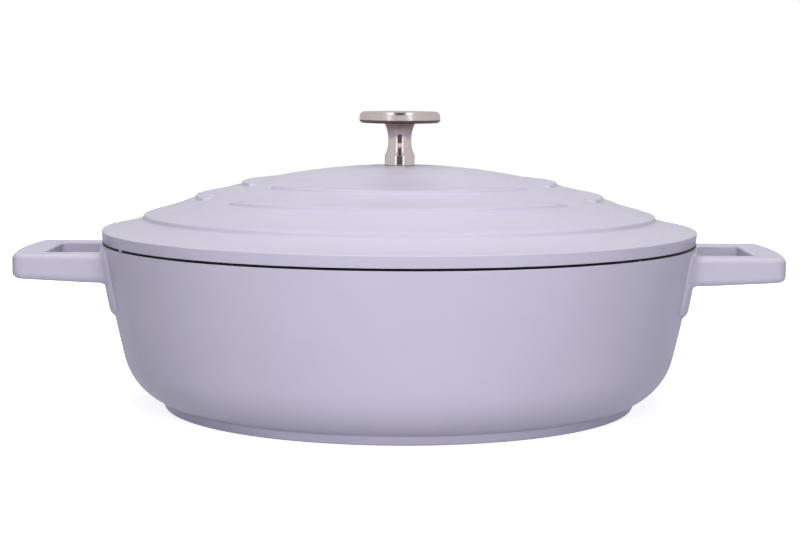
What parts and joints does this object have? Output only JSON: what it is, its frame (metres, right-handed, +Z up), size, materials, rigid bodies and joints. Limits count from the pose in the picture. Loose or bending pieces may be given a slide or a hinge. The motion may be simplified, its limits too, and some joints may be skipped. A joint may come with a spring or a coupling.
{
  "type": "lidded shallow casserole",
  "caption": "Round shallow cooking dish with loop handles, a stepped dome lid and a steel knob; the lid lifts off and the base sits on a hob.",
  "frame": {"origin": "centre of the base, on the surface the dish stands on", "axes": "+X along the two handles, +Y to the back, +Z up through the knob"},
  "size_m": [0.412, 0.3205, 0.1586],
  "materials": {
    "coat": "matt lavender coat on cast aluminium",
    "non_stick": "matt black non-stick layer",
    "knob_steel": "satin polished stainless steel",
    "plate_steel": "turned stainless steel"
  },
  "bodies": {
    "pan": {"vessel": "coat", "pan_lining": "non_stick", "induction_plate": "plate_steel", "right_handle": "coat", "left_handle": "coat"},
    "lid": {"lid_shell": "coat", "lid_lining": "non_stick", "knob_stem": "knob_steel", "knob_disc": "knob_steel", "knob_washer": "plate_steel", "knob_screw": "plate_steel"}
  },
  "joints": [
    {"name": "lid_lift", "type": "slide", "parent": "pan", "child": "lid", "axis": [0, 0, 1], "range_m": [0, 0.15]}
  ]
}
